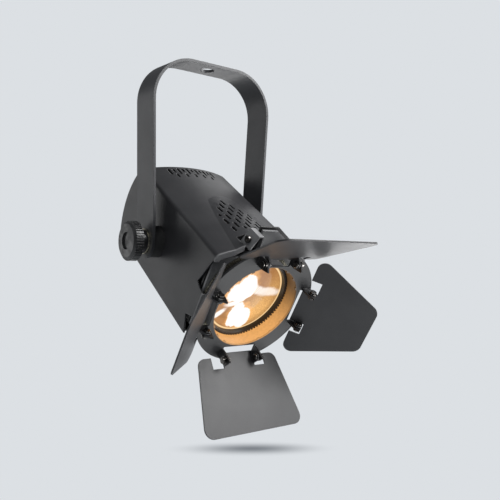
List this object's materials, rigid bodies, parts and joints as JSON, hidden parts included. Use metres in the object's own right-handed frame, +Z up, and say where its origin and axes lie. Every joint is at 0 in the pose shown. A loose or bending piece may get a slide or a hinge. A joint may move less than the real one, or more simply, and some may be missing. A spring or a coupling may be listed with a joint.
{
  "type": "stage spotlight with barn door",
  "caption": "Small stage luminaire: box head with rounded rear and lens hangs in a U-yoke; rotating hinged-leaf barn door in front.",
  "frame": {"origin": "centre of the hanging hole, on the top face of the yoke's crossbar", "axes": "+Z up out of the hanging hole, +X along the tilt axis towards the right-hand knob seen from behind the head, beam towards -Y tipped 30.8 degrees below the horizontal"},
  "size_m": [0.1928, 0.2494, 0.3145],
  "materials": {
    "yoke_black": "satin",
    "housing_black": "satin",
    "panel_black": "satin",
    "door_black": "satin",
    "frame_dark": "satin",
    "plate_grey": "satin",
    "latch_grey": "satin",
    "zinc_steel": "bright",
    "black_steel": "dark",
    "knob_plastic": "matte",
    "friction_rubber": "matte",
    "socket_black": "gloss",
    "button_grey": "matte",
    "display_glass": "gloss",
    "lens_glass": "frosted",
    "inner_aluminium": "bright",
    "reflector_chrome": "polished",
    "led_yellow": "matte",
    "board_green": "matte"
  },
  "bodies": {
    "yoke": {"yoke_bracket": "yoke_black"},
    "head": {"housing_shell": "housing_black", "bottom_plate": "housing_black", "rear_cover": "housing_black", "rear_panel": "panel_black", "belly_screws": "black_steel", "panel_screws": "black_steel", "signal_inlet": "socket_black", "signal_outlet": "socket_black", "power_inlet": "socket_black", "fuse_holder": "socket_black", "display": "display_glass", "control_board": "board_green", "front_bulkhead": "panel_black", "lens_tube": "inner_aluminium", "lens": "lens_glass", "lens_retaining_ring": "frame_dark", "reflector": "reflector_chrome", "led_board": "board_green", "led_emitter": "led_yellow", "heat_sink": "inner_aluminium", "power_supply": "board_green", "driver_board": "board_green", "safety_eye": "zinc_steel", "colour_frame": "frame_dark", "latch_bracket": "frame_dark", "latch_screw": "black_steel", "barn_base": "plate_grey", "tilt_stud_left": "zinc_steel", "tilt_stud_right": "zinc_steel", "friction_disc_left": "friction_rubber", "friction_disc_right": "friction_rubber"},
    "knob_left": {"tilt_knob_left": "knob_plastic", "knob_washer_left": "zinc_steel"},
    "knob_right": {"tilt_knob_right": "knob_plastic", "knob_washer_right": "zinc_steel"},
    "latch": {"accessory_latch": "latch_grey"},
    "barn_door": {"barn_ring": "door_black", "barn_collar": "door_black", "collar_retainer": "zinc_steel", "hinge_rivets": "black_steel", "hinge_washers": "black_steel"},
    "leaf_top": {"leaf_top": "door_black"},
    "leaf_right": {"leaf_right": "door_black"},
    "leaf_bottom": {"leaf_bottom": "door_black"},
    "leaf_left": {"leaf_left": "door_black"},
    "button_menu": {"button_menu": "button_grey"},
    "button_up": {"button_up": "button_grey"},
    "button_down": {"button_down": "button_grey"},
    "button_enter": {"button_enter": "button_grey"}
  },
  "joints": [
    {"name": "head_tilt", "type": "hinge", "parent": "yoke", "child": "head", "pos_m": [0, 0, -0.1625], "axis": [1, 0, 0], "range_deg": [-60, 120]},
    {"name": "knob_left_turn", "type": "hinge", "parent": "head", "child": "knob_left", "pos_m": [-0.071, 0, -0.1625], "axis": [-1, 0, 0], "range_deg": [0, 540]},
    {"name": "knob_right_turn", "type": "hinge", "parent": "head", "child": "knob_right", "pos_m": [0.071, 0, -0.1625], "axis": [1, 0, 0], "range_deg": [0, 540]},
    {"name": "latch_lift", "type": "hinge", "parent": "head", "child": "latch", "pos_m": [-0.014, -0.09707, -0.15785], "axis": [-1, 0, 0], "range_deg": [0, 25]},
    {"name": "barn_door_turn", "type": "hinge", "parent": "head", "child": "barn_door", "pos_m": [0, -0.0859, -0.2137], "axis": [0, -0.859, -0.512], "continuous": true},
    {"name": "leaf_top_hinge", "type": "hinge", "parent": "barn_door", "child": "leaf_top", "pos_m": [0, -0.11726, -0.1771], "axis": [1, 0, 0], "range_deg": [-46, 54]},
    {"name": "leaf_right_hinge", "type": "hinge", "parent": "barn_door", "child": "leaf_right", "pos_m": [0.0475, -0.09294, -0.2179], "axis": [0, 0.512, -0.859], "range_deg": [-40, 60]},
    {"name": "leaf_bottom_hinge", "type": "hinge", "parent": "barn_door", "child": "leaf_bottom", "pos_m": [0, -0.06862, -0.2587], "axis": [-1, 0, 0], "range_deg": [-60, 40]},
    {"name": "leaf_left_hinge", "type": "hinge", "parent": "barn_door", "child": "leaf_left", "pos_m": [-0.0475, -0.09294, -0.2179], "axis": [0, -0.512, 0.859], "range_deg": [-43, 57]},
    {"name": "button_menu_press", "type": "slide", "parent": "head", "child": "button_menu", "axis": [0, -0.859, -0.512], "range_m": [0, 0.0008], "stiffness_N_per_m": 400, "springref_m": -0.001},
    {"name": "button_up_press", "type": "slide", "parent": "head", "child": "button_up", "axis": [0, -0.859, -0.512], "range_m": [0, 0.0008], "stiffness_N_per_m": 400, "springref_m": -0.001},
    {"name": "button_down_press", "type": "slide", "parent": "head", "child": "button_down", "axis": [0, -0.859, -0.512], "range_m": [0, 0.0008], "stiffness_N_per_m": 400, "springref_m": -0.001},
    {"name": "button_enter_press", "type": "slide", "parent": "head", "child": "button_enter", "axis": [0, -0.859, -0.512], "range_m": [0, 0.0008], "stiffness_N_per_m": 400, "springref_m": -0.001}
  ]
}
